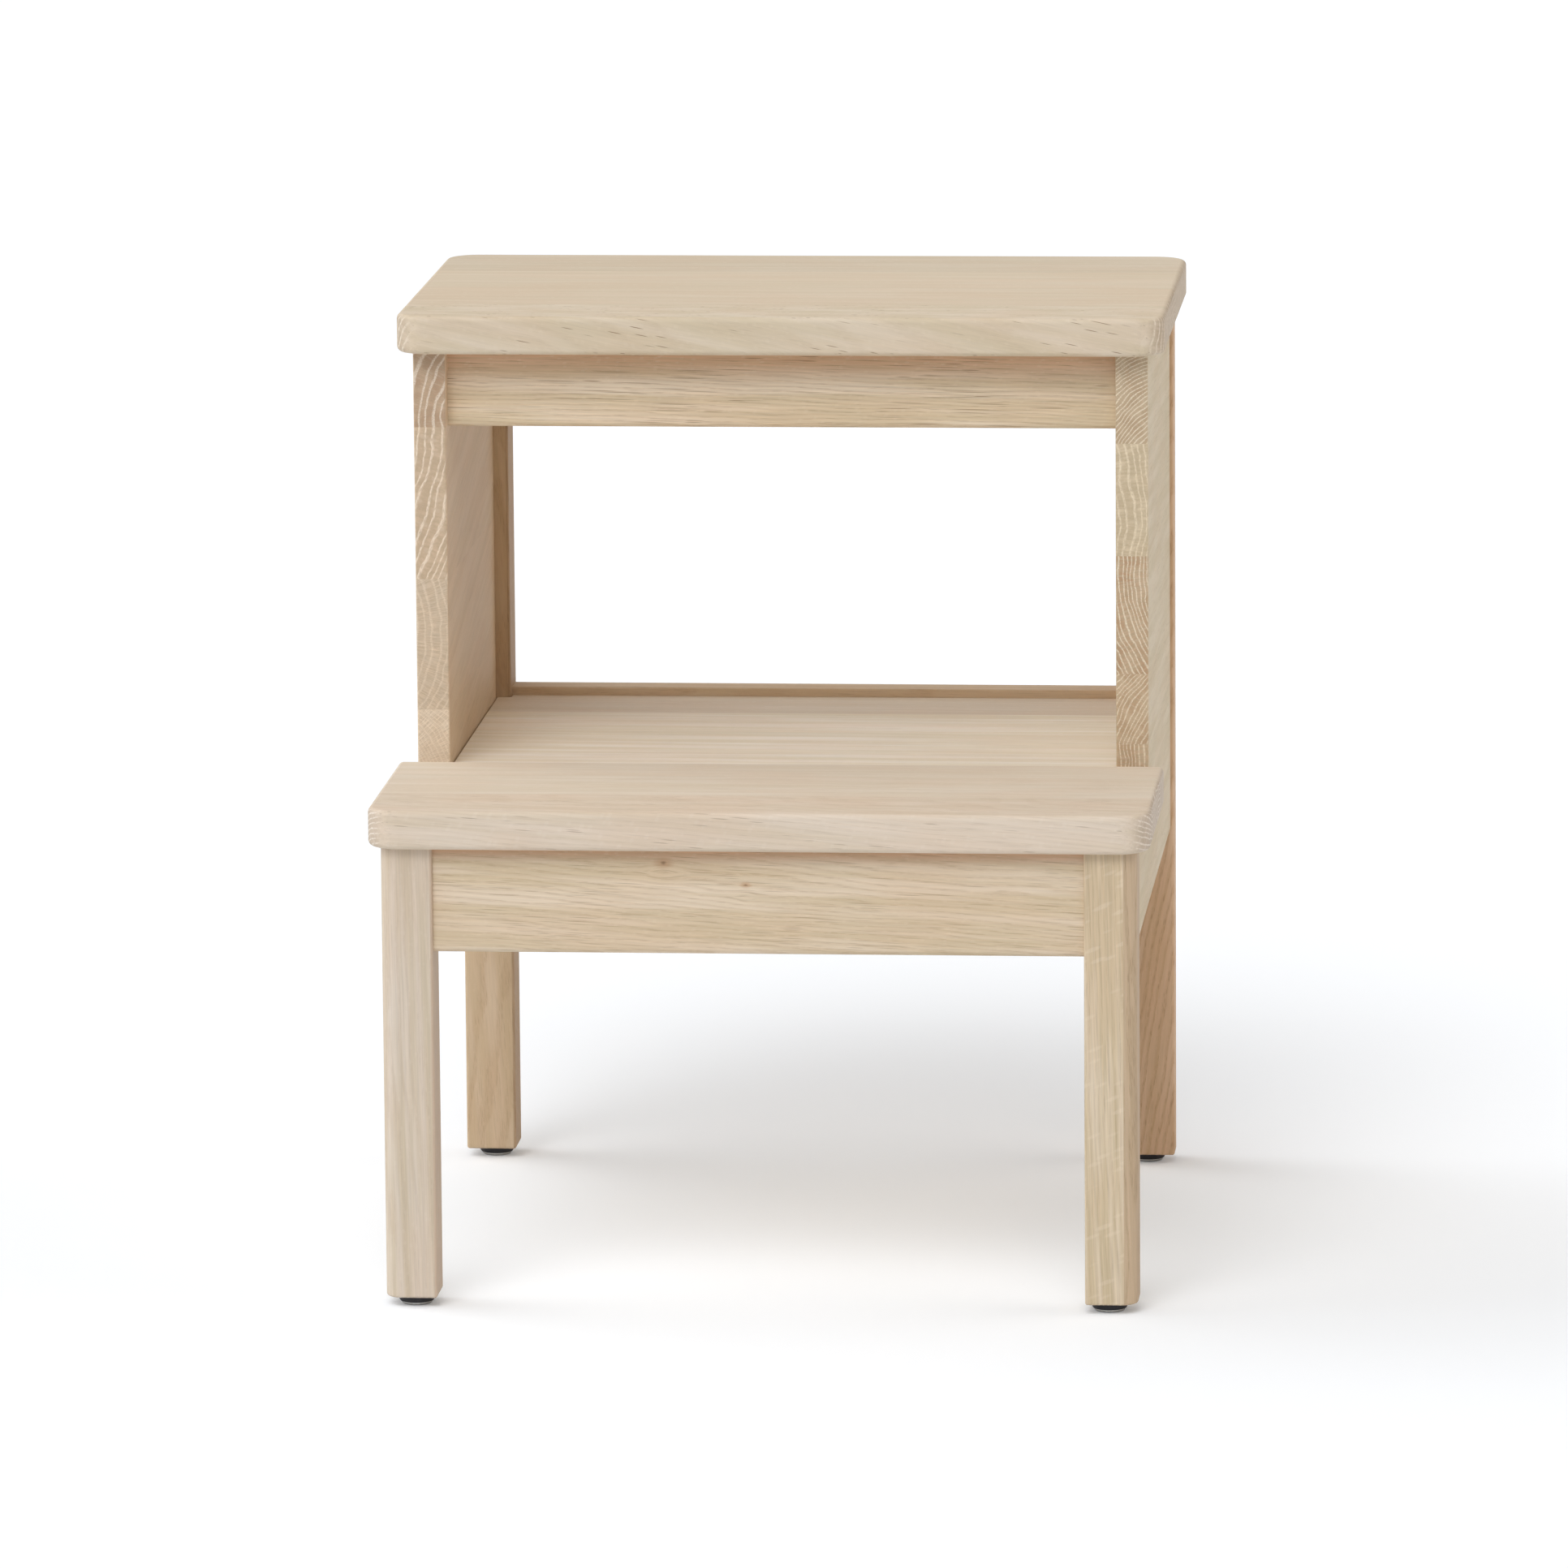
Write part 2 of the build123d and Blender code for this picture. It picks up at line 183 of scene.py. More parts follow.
# Growth rings.
STAVE_SHIFT = 310.0
WANDER_SIZE = (90.0, 24.0, 24.0)
RING_WANDER = 8.0
RING_UNEVEN_LENGTH = 9.0
RING_UNEVENNESS = 1.4
TURN_PER_RADIAN = 70.0
# The shares of a ring where its earlywood is full, starts to fade and is gone.
EARLYWOOD_SHARES = (0.12, 0.24, 0.60)
PALE_LINE_SHARES = (0.08, 0.20, 0.40)

# Strokes, rays and streaks.
PORES = dict(length=3.0, apart=0.52, thin=0.18, thick=0.42)
LINES = dict(length=30.0, apart=1.0, thin=0.12, thick=0.34)
DASHES = dict(length=12.0, apart=1.5, thin=0.10, thick=0.20)
STROKE_STRETCH = 3.0
PORE_SPAN = (0.15, 0.7)
PATCH_SIZE = (70.0, 6.0, 6.0)
LINE_PATCH_SPAN = (0.30, 0.60)
DASH_PATCH_SPAN = (0.44, 0.58)
RAY_SLANT = 0.4
RAY_TURN, RAY_RADIUS, RAY_LENGTH = 1.5, 16.0, 4.5
RAY_SPAN = (0.16, 0.34)
HAIR_SIZE = (42.0, 0.8, 0.8)
BAND_SIZE = (220.0, 7.0, 7.0)
CLOUD_SIZE = (60.0, 22.0, 22.0)
BAND_SPAN = (0.32, 0.68)
CLOUD_SPAN = (0.35, 0.7)
CLOUD_WARMTH = 0.35

# How strongly each feature changes the colour.
HAIR_LIGHT = 0.22
BAND_LIGHT = 0.14
EARLYWOOD_STRENGTH = 0.55
RAY_STRENGTH = 0.5
PORE_STRENGTH = 0.45
LINE_STRENGTH = 0.6
DASH_STRENGTH = 0.85

# End grain.
BEAD_SIZE = 0.7
BEAD_SPAN = (0.36, 0.58)
BEAD_GAP_STRENGTH = 0.35
WEAVE_TURN, WEAVE_RADIUS = 0.55, 7.0
WEAVE_SPAN = (0.35, 0.65)
WEAVE_STRENGTH = 0.6
END_BAND_SPAN = (0.35, 0.65)
END_BAND_STRENGTH = 0.4
END_RAY_STRENGTH = 0.6
# How far a face has turned towards the fibres' ends: the dot product of its normal and their axis.
END_FACING_SPAN = (0.35, 0.9)

# Knots, in their own size: where the fibres part round them, and their ragged brown and black middles.
KNOT_REACH = 3.2
KNOT_PUSH = 0.9
KNOT_PUSH_FLATNESS = 1.6
KNOT_LENGTHENING = 0.55
KNOT_RAGGEDNESS = 0.9
KNOT_BROWN = dict(inner=0.35, outer=1.5, strength=0.75)
KNOT_BLACK = dict(inner=0.12, outer=0.45, strength=0.85)

# Surface.
OAK_ROUGHNESS = 0.58
OPEN_ROUGHNESS = 0.25
HAIR_ROUGHNESS = 0.16
RAY_ROUGHNESS = -0.10
OAK_SPECULAR = 0.32
OPEN_HEIGHT = -1.0
EARLYWOOD_HEIGHT = -0.22
HAIR_HEIGHT = 0.25
OAK_BUMP_METRES = 0.00008
OAK_BUMP_STRENGTH = 0.7


class Oak:
    """One board's oak as a solid texture, in millimetres from the middle of the node's box."""

    def __init__(self, g, node, grain, staves, joints, joint_axis, knots, seed):
        self.g = g
        self.staves = [{**STAVE, **stave} for stave in staves]
        self.joints = joints
        self.knots = knots
        self.axes = GRAIN_AXES[grain]
        low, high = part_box(node)
        self.half = [side * MM_PER_METRE / 2 for side in high - low]
        place = g.vector_math("SUBTRACT", g.node("ShaderNodeTexCoord").outputs["Object"], (low + high) / 2)
        self.place = g.split(g.vector_math("MULTIPLY", place, (MM_PER_METRE,) * 3))
        self.across = self.place[self.axes[1 + joint_axis]]
        # Every stave is cut from another place in the tree.
        self.shift = g.steps(self.across, joints,
                             [seed + STAVE_SHIFT * number for number in range(len(staves))])
        self.fibres = self.lay_fibres()
        self.band = self.noise(BAND_SIZE, 3.0)
        self.hair = self.noise(HAIR_SIZE, 3.0)
        self.add_rings()
        self.add_open_grain()
        self.add_rays()
        self.bead = g.noise(g.join(g.divide(self.turn, BEAD_SIZE), g.divide(self.radius, BEAD_SIZE), 0.0),
                            detail=1.0)

    def each(self, key, index=None):
        """A setting of the stave that the place is in."""
        values = [stave[key] if index is None else stave[key][index] for stave in self.staves]
        return self.g.steps(self.across, self.joints, values)

    def noise(self, size, detail):
        """Soft noise, from 0 to 1, drawn out along the fibres."""
        return self.g.noise(self.g.join(*map(self.g.divide, self.fibres, size)), detail)

    def strokes(self, length, apart, thin, thick):
        """Thin dark strokes along the fibres, of about that length; apart is the space between them."""
        g = self.g
        sizes = (length * STROKE_STRETCH, apart, apart)
        return g.span(g.cells(g.join(*map(g.divide, self.fibres, sizes))), thin, thick, 1.0, 0.0)

    def ring_part(self, full, fading, gone):
        """1 in the first part of every growth ring, and 0 in the rest."""
        g = self.g
        return g.times(g.span(self.phase, 0.0, full), g.span(self.phase, fading, gone, 1.0, 0.0))

    def lay_fibres(self):
        """The place along the fibres and twice across them, with their drift, parted round each knot."""
        g = self.g
        along, first, second = (self.place[axis] for axis in self.axes)
        from_end = g.add(along, self.half[self.axes[0]])
        first = g.add(first, g.times(from_end, self.each("drift", 0)))
        second = g.add(second, g.times(from_end, self.each("drift", 1)))
        for knot_along, knot_second, size in self.knots:
            beside = g.subtract(second, knot_second)
            offset = g.join(g.subtract(along, knot_along), g.times(beside, KNOT_PUSH_FLATNESS), 0.0)
            away = g.divide(g.vector_math("LENGTH", offset), size * KNOT_REACH)
            push = g.math("EXPONENT", g.times(g.math("POWER", away, 2.0), -1.0))
            second = g.subtract(second, g.times(push, g.math("SIGN", beside), size * KNOT_PUSH))
        return g.add(along, self.shift), first, second

    def add_rings(self):
        """Growth rings round the pith: each starts with open, darker earlywood."""
        g = self.g
        _, first, second = self.fibres
        out_first = g.subtract(first, self.each("pith", 0))
        out_second = g.subtract(second, self.each("pith", 1))
        even_radius = g.math("SQRT", g.add(g.times(out_first, out_first), g.times(out_second, out_second)))
        self.turn = g.times(g.math("ARCTAN2", out_second, out_first), TURN_PER_RADIAN)
        self.radius = g.add(even_radius, g.times(self.noise(WANDER_SIZE, 3.0), RING_WANDER))
        uneven = g.noise(g.join(g.divide(self.radius, RING_UNEVEN_LENGTH), self.shift, 0.0), detail=0.0)
        count = g.add(g.divide(self.radius, self.each("ring")), g.times(uneven, RING_UNEVENNESS))
        self.phase = g.math("FRACT", count)
        self.earlywood = self.ring_part(*EARLYWOOD_SHARES)

    def add_open_grain(self):
        """Pores in the earlywood, and fine lines and long open dashes in patches."""
        g = self.g
        patch = self.noise(PATCH_SIZE, 1.0)
        pores = g.times(self.strokes(**PORES), g.span(self.earlywood, *PORE_SPAN), self.each("early"))
        lines = g.times(self.strokes(**LINES), g.span(patch, *LINE_PATCH_SPAN), self.each("line"))
        dashes = g.times(self.strokes(**DASHES), g.span(patch, *DASH_PATCH_SPAN), self.each("dash"))
        fine = g.math("MAXIMUM", g.times(pores, PORE_STRENGTH), g.times(lines, LINE_STRENGTH))
        self.open_grain = g.math("MAXIMUM", fine, g.times(dashes, DASH_STRENGTH))

    def add_rays(self):
        """Pale flecks in sheets that run out from the pith."""
        g = self.g
        slant = g.add(self.fibres[0], g.times(self.radius, RAY_SLANT))
        sheets = g.cells(g.join(g.divide(self.turn, RAY_TURN), g.divide(self.radius, RAY_RADIUS),
                                g.divide(slant, RAY_LENGTH)))
        self.rays = g.times(g.span(sheets, *RAY_SPAN, 1.0, 0.0), self.each("ray"))

    def ground(self, painted_shade_depth):
        """The wood between its features, in soft bands and clouds of another tint, with painted shade along
        its top edge if asked.
        """
        g = self.g
        tint = g.times(g.subtract(g.span(self.band, *BAND_SPAN), 0.5), self.each("streak"))
        ground = g.mix(g.add(tint, 0.5), KHAKI, IVORY)
        cloud = self.noise(CLOUD_SIZE, 1.0)
        warmth = g.add(self.each("warm"), g.times(g.span(cloud, *CLOUD_SPAN), CLOUD_WARMTH))
        ground = g.mix(warmth, ground, WARM)
        # Painted shade: darker and redder towards the top edge, under the tread above.
        if painted_shade_depth:
            top = self.half[2]
            ground = g.mix(g.span(self.place[2], top - painted_shade_depth, top), ground, PAINTED_SHADE)
        return ground

    def long_grain(self, ground):
        """The colour of a face along the fibres."""
        g = self.g
        colour = g.mix(g.times(self.earlywood, self.each("early"), EARLYWOOD_STRENGTH), ground, EARLYWOOD)
        colour = g.mix(g.times(self.rays, RAY_STRENGTH), colour, RAY)
        return g.mix(self.open_grain, colour, PORE)

    def end_grain(self, ground):
        """The colour of a face across the fibres: the oil has whitened the earlywood to beaded lines."""
        g = self.g
        weave = g.noise(g.join(g.divide(self.turn, WEAVE_TURN), g.divide(self.radius, WEAVE_RADIUS), 0.0),
                        detail=1.0)
        beads = g.span(self.bead, *BEAD_SPAN, BEAD_GAP_STRENGTH, 1.0)
        lines = g.times(self.ring_part(*PALE_LINE_SHARES), beads, self.each("rings"))
        colour = g.mix(self.each("end_red"), END_GROUND, END_RED)
        colour = g.mix(self.each("end_pale"), colour, END_LINE)
        colour = g.mix(g.span(self.band, *END_BAND_SPAN, 0.0, END_BAND_STRENGTH), colour, ground)
        colour = g.mix(g.span(weave, *WEAVE_SPAN, WEAVE_STRENGTH, 0.0), colour, END_WEAVE)
        return g.mix(g.math("MAXIMUM", lines, g.times(self.rays, END_RAY_STRENGTH)), colour, END_LINE)

    def with_knots(self, colour):
        """The colour with the knots' ragged middles."""
        g = self.g
        for knot_along, knot_second, size in self.knots:
            lengthways = g.times(g.subtract(self.place[self.axes[0]], knot_along), KNOT_LENGTHENING)
            offset = g.join(lengthways, g.subtract(self.place[self.axes[2]], knot_second), 0.0)
            uneven = g.times(g.subtract(self.bead, 0.5), size * KNOT_RAGGEDNESS)
            ragged = g.add(g.vector_math("LENGTH", offset), uneven)
            for tint, look in ((KNOT, KNOT_BROWN), (PORE, KNOT_BLACK)):
                inside = g.span(ragged, size * look["inner"], size * look["outer"], look["strength"], 0.0)
                colour = g.mix(inside, colour, tint)
        return colour

    def light(self, facing):
        """How light the wood is: the stave's tone, with hairs and bands along the fibres."""
        g = self.g
        hairs = g.times(g.subtract(self.hair, 0.5), HAIR_LIGHT, self.each("streak"))
        bands = g.times(g.subtract(self.band, 0.5), BAND_LIGHT, self.each("streak"))
        end_light = g.times(facing, g.subtract(self.each("end_tone"), self.each("tone")))
        return g.times(g.add(1.0, hairs, bands), g.add(self.each("tone"), end_light))

    def facing_end(self):
        """0 on a face along the fibres, and 1 on a face across them."""
        g = self.g
        fibre_axis = tuple(1.0 if index == self.axes[0] else 0.0 for index in range(3))
        normal = g.node("ShaderNodeNewGeometry").outputs["Normal"]
        return g.span(g.math("ABSOLUTE", g.vector_math("DOT_PRODUCT", normal, fibre_axis)), *END_FACING_SPAN)


def oak(node, grain, colour, staves, joints=(), joint_axis=0, knots=(), painted_shade_depth=0.0, seed=0.0):
    """Dresses a board in oak.

    grain is the fibres' axis; the first and second cross axes are the other two, in X, Y, Z order.
    joints are the places along one cross axis where one stave meets the next, with one entry of staves on
    each side: glue lines on the boards, and on the legs the edge of a painted shade.
    A knot is its place along the fibres and on the second cross axis, and its size.
    painted_shade_depth is how far down from its top edge a board is darker and redder: painted shade under a
    tread.
    A stave says where the pith of its growth rings is along the two cross axes, the rings' spacing,
    how far the fibres drift along each cross axis per millimetre from the board's low end, its tone and
    warmth, how strong its earlywood, fine dark lines, long open pores, ray flecks and streaks are, and
    for its end grain how strong the rings are, its tone, how red it is and how pale the wood between
    the rings is.
    """
    material, g, surface = new_material(f"oak_{node}")
    wood = Oak(g, node, grain, staves, joints, joint_axis, knots, seed)
    ground = wood.ground(painted_shade_depth)
    facing = wood.facing_end()
    shade = wood.with_knots(g.mix(facing, wood.long_grain(ground), wood.end_grain(ground)))
    light = wood.light(facing)
    shade = g.mix(1.0, shade, g.join(light, light, light), blend="MULTIPLY")
    g.feed(surface.inputs["Base Color"], g.mix(1.0, shade, linear(*colour), blend="MULTIPLY"))

    rough = g.add(OAK_ROUGHNESS, g.times(wood.open_grain, OPEN_ROUGHNESS),
                  g.times(g.subtract(wood.hair, 0.5), HAIR_ROUGHNESS), g.times(wood.rays, RAY_ROUGHNESS))
    g.feed(surface.inputs["Roughness"], rough)
    surface.inputs["Specular IOR Level"].default_value = OAK_SPECULAR
    height = g.add(g.times(wood.open_grain, OPEN_HEIGHT), g.times(wood.earlywood, EARLYWOOD_HEIGHT),
                   g.times(wood.hair, HAIR_HEIGHT))
    g.feed(surface.inputs["Normal"], g.bump(height, OAK_BUMP_METRES, OAK_BUMP_STRENGTH))
    dress(node, material)


# Treads: several staves side by side. The front stave's fibres run down to the right.
oak("upper_tread", "X", (216, 202, 182), joints=(-78, -8, 58), joint_axis=0, seed=11.0, staves=(
    dict(pith=(60, 70), ring=3.2, drift=(0.05, 0.20), early=0.2, line=0.1, dash=1.0),
    dict(pith=(10, -160), ring=3.0, drift=(0.03, 0.01), early=0.12, line=0.1, dash=0.1, streak=0.5, warm=0.2),
    dict(pith=(90, -60), ring=2.2, drift=(0.01, 0.00), early=0.12, line=0.1, dash=0.1, streak=0.5, warm=0.1),
    dict(pith=(-80, 90), ring=2.4, drift=(-0.01, 0.02), tone=0.95, early=0.2, line=0.2, dash=0.1,
         streak=0.5)))
oak("lower_tread", "X", (220, 208, 193), joints=(-22, 36), joint_axis=0, seed=57.0, staves=(
    dict(pith=(-20, 120), ring=2.6, drift=(0.03, 0.07), early=0.25, line=0.2, dash=0.6, warm=0.35),
    dict(pith=(30, -140), ring=3.0, drift=(0.02, 0.03), tone=1.03, early=0.15, line=0.2, dash=0.2,
         streak=0.5),
    dict(pith=(120, 40), ring=2.0, drift=(0.01, 0.02), tone=1.04, early=0.15, line=0.2, dash=0.1,
         streak=0.5)))
oak("shelf", "X", (245, 236, 223), joints=(-62, 4, 64), joint_axis=0, seed=83.0, staves=(
    dict(pith=(40, -120), ring=2.6, drift=(0.02, 0.02), early=0.15, line=0.2, streak=1.0),
    dict(pith=(-30, 140), ring=3.0, drift=(0.04, 0.01), tone=1.02, early=0.12, line=0.2, streak=1.0),
    dict(pith=(100, 30), ring=2.0, drift=(0.01, 0.02), tone=1.05, early=0.15, line=0.2, streak=1.0),
    # Painted shade: the rear stave is darker and warmer, under the upper tread.
    dict(pith=(-20, -90), ring=2.4, drift=(0.02, 0.02), tone=0.90, early=0.15, warm=0.5, line=0.2)))

# Side panels: staves stacked one on another, with their end grain showing at the front.
oak("left_side_panel", "Y", (224, 205, 181), joints=(-44.5, 24.5, 104.5), joint_axis=1, seed=131.0, staves=(
    dict(pith=(-30, -109), ring=2.2, drift=(0.02, -0.20), warm=0.45, early=0.1, rings=0.5, end_tone=1.08,
         end_red=0.0, end_pale=0.65),
    dict(pith=(-60, -32), ring=4.0, drift=(0.01, -0.22), warm=0.45, early=0.1, rings=0.5, end_tone=0.98,
         end_red=0.0, end_pale=0.32),
    dict(pith=(-240, 104), ring=4.0, drift=(0.01, -0.24), warm=0.45, early=0.1, end_red=0.2),
    dict(pith=(50, 78), ring=4.4, drift=(0.01, -0.24), warm=0.45, early=0.1, rings=1.2, end_tone=0.86,
         end_red=0.7)))
oak("right_side_panel", "Y", (214, 199, 173), joints=(-60.5, -23.5, 38.5, 97.5), joint_axis=1, seed=173.0,
    staves=(
        dict(pith=(-120, -65), ring=2.2, drift=(0.02, 0.04), early=0.1, end_tone=1.10, end_red=0.8),
        dict(pith=(54, -67), ring=2.3, drift=(0.02, 0.05), early=0.1, end_tone=1.06, end_red=0.8),
        dict(pith=(90, 38), ring=2.3, drift=(0.02, 0.04), early=0.1, rings=1.2, end_tone=1.0, end_red=1.0),
        dict(pith=(-150, 68), ring=3.6, drift=(0.02, 0.05), early=0.1, rings=0.6, end_tone=1.14, end_red=0.0),
        dict(pith=(32, 89), ring=2.0, drift=(0.02, 0.05), early=0.1, rings=1.2, end_tone=1.0, end_red=0.6)))

# Legs, with upright fibres. Along the right-hand corner the second stave is darker and warmer: painted shade
# on the side turned away from the main light.
oak("front_left_leg", "Z", (213, 199, 183), joints=(12.2,), joint_axis=0, seed=211.0, staves=(
    dict(pith=(60, 90), ring=2.2, drift=(0.02, 0.01), early=0.25, line=0.2, dash=0.1, streak=1.4),
    # Painted shade: the right-hand corner and side, darker and warmer.
    dict(pith=(60, 90), ring=2.2, drift=(0.02, 0.01), early=0.25, tone=0.94, warm=0.9)))
oak("front_right_leg", "Z", (215, 198, 173), joints=(6.5,), joint_axis=0, seed=251.0, staves=(
    dict(pith=(110, -12), ring=2.6, drift=(0.03, 0.02), early=0.35, line=0.35, ray=0.9, streak=2.2),
    # Painted shade: the rounded right-hand corner, darker and warmer.
    dict(pith=(40, -30), ring=2.2, drift=(0.02, 0.02), early=0.8, line=0.3, streak=1.5, tone=0.86, warm=1.0)))
oak("rear_left_leg", "Z", (210, 186, 157), joints=(12.2,), joint_axis=0, seed=293.0, staves=(
    dict(pith=(20, -90), ring=2.6, drift=(0.06, 0.05), early=0.5, dash=0.2),
    # Painted shade: the right-hand corner and side, darker and warmer.
    dict(pith=(20, -90), ring=2.6, drift=(0.06, 0.05), early=0.8, tone=0.79, warm=1.0)))
oak("rear_right_leg", "Z", (217, 183, 150), seed=331.0, staves=(
    dict(pith=(50, -60), ring=3.0, drift=(-0.10, 0.08), early=0.8, dash=0.2),))

# Aprons and rails, with fibres from side to side. The aprons are darker and redder along their top edges:
# painted shade under the treads.
oak("upper_front_apron", "X", (225, 207, 182), painted_shade_depth=20, seed=373.0, staves=(
    dict(pith=(40, 70), ring=2.0, drift=(0.02, 0.02), early=0.6, line=1.0, dash=0.9, streak=1.8),))
oak("lower_front_apron", "X", (219, 201, 177), painted_shade_depth=9, seed=419.0, staves=(
    dict(pith=(60, 60), ring=2.0, drift=(0.03, 0.04), early=0.5, line=0.7, dash=0.4, streak=1.2),),
    knots=((-48, 20, 2.6), (-6, 9, 1.6)))
oak("upper_rear_rail", "X", (216, 196, 168), seed=461.0, staves=(
    dict(pith=(30, -80), drift=(0.02, 0.03), early=0.5),))
oak("shelf_rear_rail", "X", (226, 204, 178), seed=503.0, staves=(
    dict(pith=(80, 20), drift=(0.02, 0.02), early=0.5),))


# ------------------------------------------------------------- small hardware

BEECH_LIGHT = linear(224, 196, 164)
BEECH_DARK = linear(205, 172, 138)
BEECH_FLECK = linear(168, 122, 88)
ZINC = linear(196, 194, 184)
NICKEL = linear(206, 204, 200)
NYLON_BLACK = linear(24, 22, 27)
NYLON_DUST = linear(50, 47, 52)
BEECH_FLECK_SPAN = (0.15, 0.35)
BEECH_FLECK_STRENGTH = 0.5
BEECH_FIBRE_SPAN = (0.2, 0.8)
BEECH_ROUGHNESS = (0.55, 0.75)
BEECH_BUMP_METRES = 0.0001
ZINC_ROUGHNESS = 0.34
NICKEL_ROUGHNESS = 0.26
STEEL_ROUGHNESS_RANGE = 0.16
STEEL_SCRATCH_SPAN = (0.3, 0.7)
STEEL_CLOUD_SHADE = 0.8
STEEL_BUMP_METRES = 0.00002
STEEL_BUMP_STRENGTH = 0.5
NYLON_DUST_SPAN = (0.45, 0.8)
NYLON_ROUGHNESS_SPAN = (0.3, 0.7)
NYLON_ROUGHNESS = (0.38, 0.58)
NYLON_BUMP_METRES = 0.00003
NYLON_BUMP_STRENGTH = 0.6

# How many features there are to a metre, along each axis.
BEECH_FIBRES = (140.0, 900.0, 900.0)
BEECH_FLECKS = (260.0, 1300.0, 1300.0)
STEEL_CLOUDS = (500.0, 500.0, 500.0)
STEEL_SCRATCHES = (3000.0, 3000.0, 400.0)
NYLON_GRAIN = (2400.0, 2400.0, 2400.0)
NYLON_CLOUDS = (300.0, 300.0, 300.0)


def object_place(g, features):
    """The place on the object, in units of features that many to the metre."""
    return g.vector_math("MULTIPLY", g.node("ShaderNodeTexCoord").outputs["Object"], features)


def dowel_wood():
    """Unfinished beech: short dark flecks on a pinkish ground."""
    material, g, surface = new_material("beech_dowel")
    fibres = g.noise(object_place(g, BEECH_FIBRES), detail=4.0)
    flecks = g.span(g.cells(object_place(g, BEECH_FLECKS)), *BEECH_FLECK_SPAN, BEECH_FLECK_STRENGTH, 0.0)
    colour = g.mix(fibres, BEECH_DARK, BEECH_LIGHT)
    g.feed(surface.inputs["Base Color"], g.mix(flecks, colour, BEECH_FLECK))
    g.feed(surface.inputs["Roughness"], g.span(fibres, *BEECH_FIBRE_SPAN, *BEECH_ROUGHNESS))
    g.feed(surface.inputs["Normal"], g.bump(fibres, BEECH_BUMP_METRES))
    return material


def plated_steel(name, base, roughness):
    """Plated steel with a faint cloudiness and fine circular wear."""
    material, g, surface = new_material(name)
    cloud = g.noise(object_place(g, STEEL_CLOUDS), detail=3.0)
    scratch = g.noise(object_place(g, STEEL_SCRATCHES), detail=2.0)
    clouded = [STEEL_CLOUD_SHADE * channel for channel in base[:3]] + [1.0]
    g.feed(surface.inputs["Base Color"], g.mix(cloud, base, clouded))
    rough = g.span(scratch, *STEEL_SCRATCH_SPAN, roughness, roughness + STEEL_ROUGHNESS_RANGE)
    g.feed(surface.inputs["Roughness"], rough)
    g.feed(surface.inputs["Normal"], g.bump(scratch, STEEL_BUMP_METRES, STEEL_BUMP_STRENGTH))
    surface.inputs["Metallic"].default_value = 1.0
    return material


def black_nylon():
    """Moulded black nylon: a fine eggshell grain and a little dust."""
    material, g, surface = new_material("black_nylon")
    grain = g.noise(object_place(g, NYLON_GRAIN), detail=2.0)
    dust = g.noise(object_place(g, NYLON_CLOUDS), detail=4.0)
    g.feed(surface.inputs["Base Color"], g.mix(g.span(dust, *NYLON_DUST_SPAN), NYLON_BLACK, NYLON_DUST))
    g.feed(surface.inputs["Roughness"], g.span(dust, *NYLON_ROUGHNESS_SPAN, *NYLON_ROUGHNESS))
    g.feed(surface.inputs["Normal"], g.bump(grain, NYLON_BUMP_METRES, NYLON_BUMP_STRENGTH))
    return material


beech = dowel_wood()
zinc = plated_steel("zinc_plate", ZINC, ZINC_ROUGHNESS)
nickel = plated_steel("nickel_plate", NICKEL, NICKEL_ROUGHNESS)
nylon = black_nylon()
for name in nodes:
    if name.endswith("_dowels"):
        dress(name, beech)
    elif name.endswith("_screws"):
        dress(name, zinc)
    elif name.endswith("_glide_cap"):
        dress(name, nickel)
    elif name.endswith("_glide_cushion"):
        dress(name, nylon)


# ---------------------------------------------------------------------- studio

WHITE = (1.0, 1.0, 1.0, 1.0)
FLOOR_SIZE = 60.0
FLOOR_COLOUR = (0.88, 0.91, 0.95, 1.0)
FLOOR_GLOW = 0.13
CAMERA_AZIMUTH = math.radians(4.89)
CAMERA_ELEVATION = math.radians(9.85)
CAMERA_ROLL = math.radians(-0.44)
CAMERA_DISTANCE = 5.932
CAMERA_TARGET = Vector((-0.0023, -0.006, 0.2408))
CAMERA_LENS = 259.15
SENSOR_WIDTH = 36.0
CAMERA_SIGHT = 100.0

# Azimuth from the front, positive to the right; elevation; how far it spreads, in degrees; and colour.
SOFT_PANELS = (
    (-12, 46, 18, (6.8, 6.8, 6.8)),
    (95, 28, 26, (2.1, 1.92, 1.74)),
    (-105, 28, 28, (3.2, 3.2, 3.2)),
    (180, 28, 30, (0.55, 0.55, 0.55)))


def make_floor():
    """A wide white floor that the stool stands on, with a faint glow for the camera only."""
    half = FLOOR_SIZE / 2
    mesh = bpy.data.meshes.new("floor")
    corners = [(-half, -half, 0), (half, -half, 0), (half, half, 0), (-half, half, 0)]
    mesh.from_pydata(corners, [], [(0, 1, 2, 3)])
    floor = bpy.data.objects.new("floor", mesh)
    scene.collection.objects.link(floor)
    material, g, surface = new_material("studio_floor")
    surface.inputs["Base Color"].default_value = FLOOR_COLOUR
    surface.inputs["Emission Color"].default_value = WHITE
    seen = g.node("ShaderNodeLightPath").outputs["Is Camera Ray"]
    g.feed(surface.inputs["Emission Strength"], g.times(seen, FLOOR_GLOW))
    surface.inputs["Roughness"].default_value = 1.0
    surface.inputs["Specular IOR Level"].default_value = 0.0
    mesh.materials.append(material)


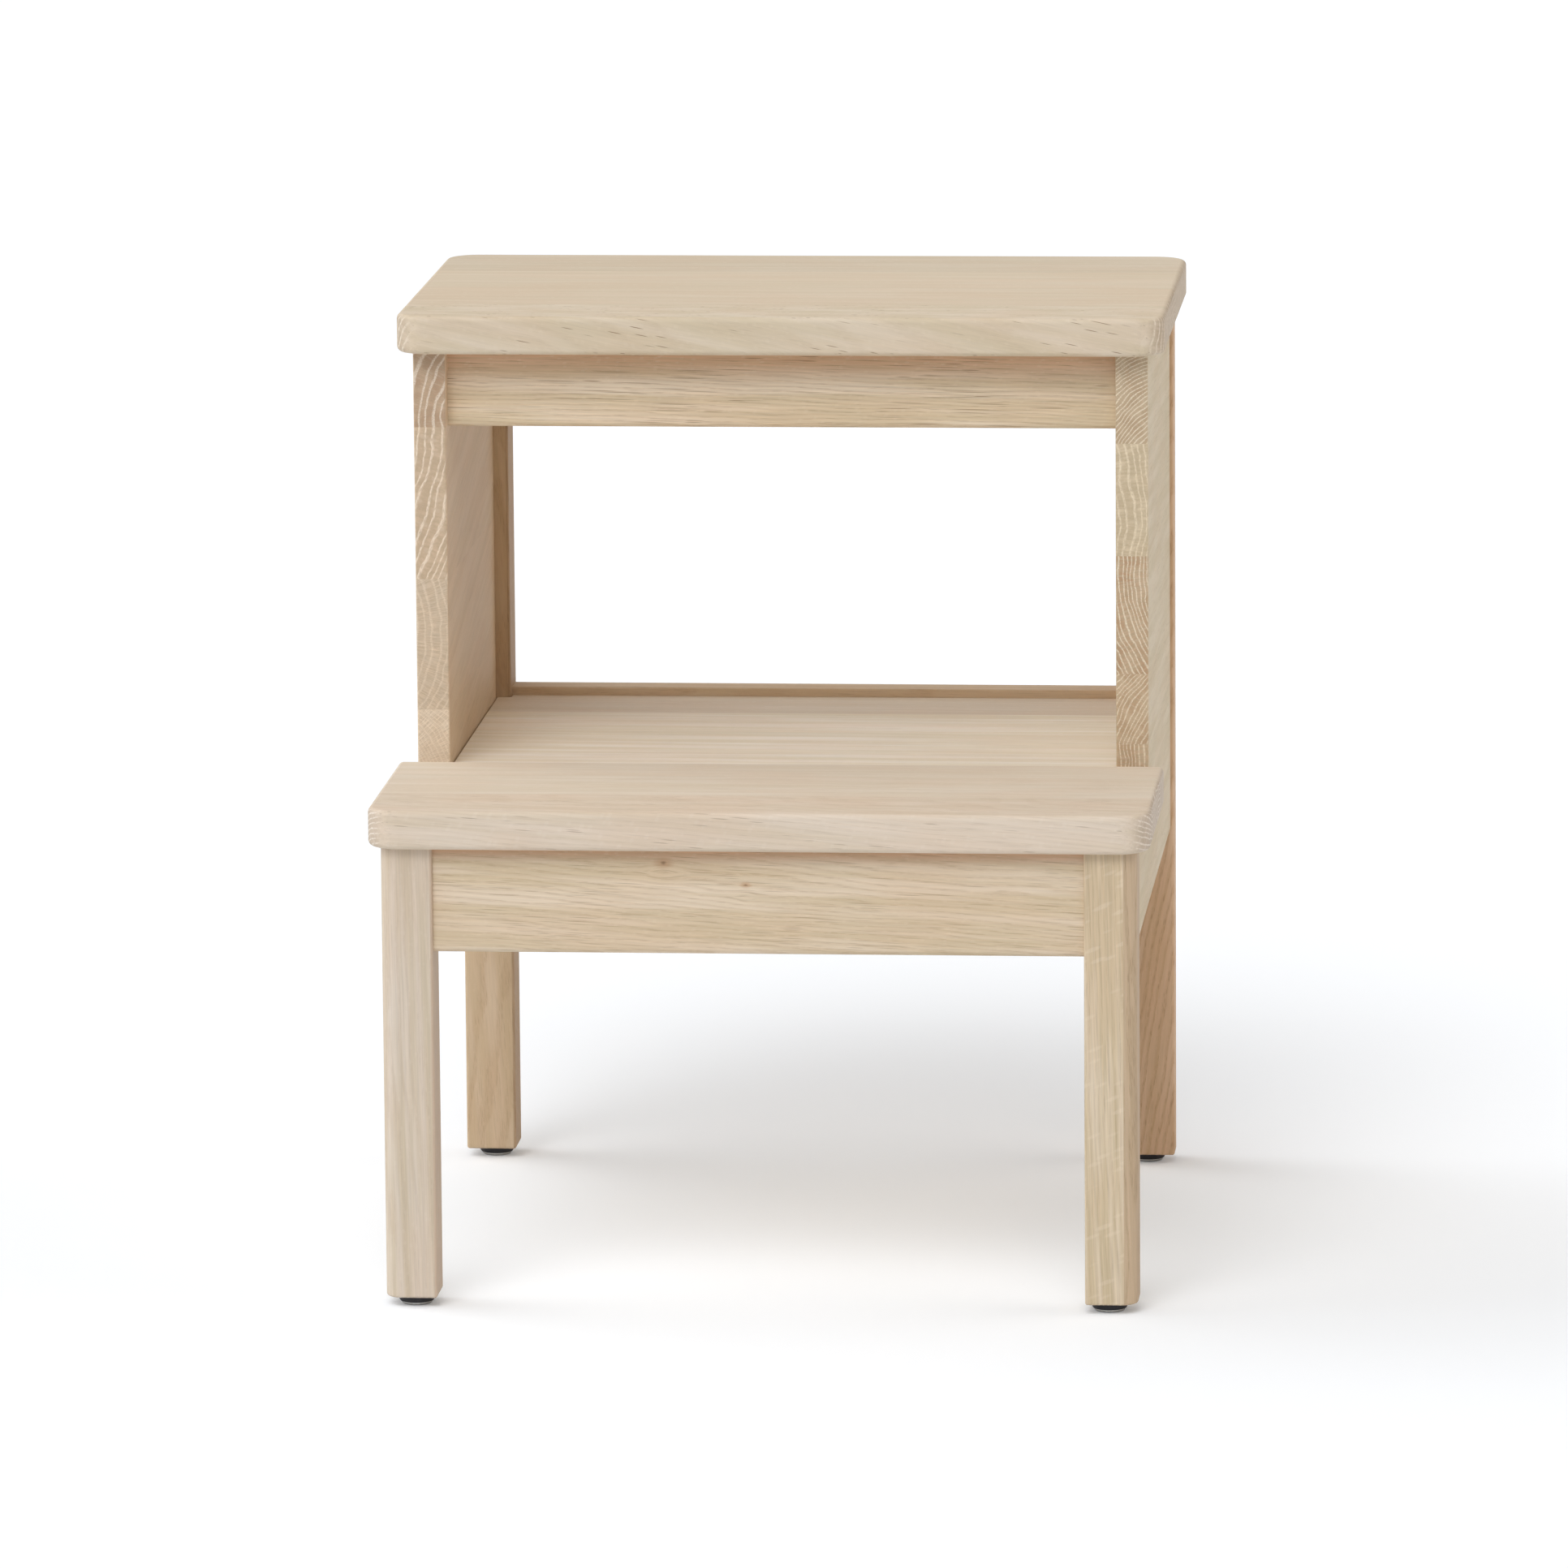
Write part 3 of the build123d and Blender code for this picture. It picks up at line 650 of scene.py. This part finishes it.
def make_camera():
    """A long lens, a little to the right of the front and looking slightly down."""
    forward = Vector((-math.sin(CAMERA_AZIMUTH) * math.cos(CAMERA_ELEVATION),
                      math.cos(CAMERA_AZIMUTH) * math.cos(CAMERA_ELEVATION),
                      -math.sin(CAMERA_ELEVATION)))
    level_right = Vector((math.cos(CAMERA_AZIMUTH), math.sin(CAMERA_AZIMUTH), 0.0))
    level_up = level_right.cross(forward)
    right = level_right * math.cos(CAMERA_ROLL) + level_up * math.sin(CAMERA_ROLL)
    up = level_up * math.cos(CAMERA_ROLL) - level_right * math.sin(CAMERA_ROLL)
    turned = Matrix((right, up, -forward)).transposed().to_4x4()
    turned.translation = CAMERA_TARGET - forward * CAMERA_DISTANCE
    camera = bpy.data.objects.new("camera", bpy.data.cameras.new("camera"))
    camera.data.lens = CAMERA_LENS
    camera.data.sensor_width = SENSOR_WIDTH
    camera.data.clip_end = CAMERA_SIGHT
    camera.matrix_world = turned
    scene.collection.objects.link(camera)
    scene.camera = camera


def make_sky():
    """Soft panels of light all round, and pure white where the camera sees past the floor."""
    world = bpy.data.worlds.new("studio")
    world.use_nodes = True
    g = Graph(world.node_tree)
    direction = g.node("ShaderNodeTexCoord").outputs["Generated"]
    sky = (0.0, 0.0, 0.0)
    for azimuth, elevation, spread, colour in SOFT_PANELS:
        turn, rise, width = (math.radians(angle) for angle in (azimuth, elevation, spread))
        centre = (math.sin(turn) * math.cos(rise), -math.cos(turn) * math.cos(rise), math.sin(rise))
        away = g.subtract(g.vector_math("DOT_PRODUCT", direction, centre), 1.0)
        glow = g.math("EXPONENT", g.divide(away, 1.0 - math.cos(width)))
        lit = g.vector_math("MULTIPLY", g.join(glow, glow, glow), colour)
        sky = g.vector_math("ADD", lit, sky)
    background = world.node_tree.nodes["Background"]
    seen = g.node("ShaderNodeLightPath").outputs["Is Camera Ray"]
    g.feed(background.inputs["Color"], g.mix(seen, sky, WHITE))
    scene.world = world


make_floor()
make_camera()
make_sky()
scene.view_settings.view_transform = "Standard"
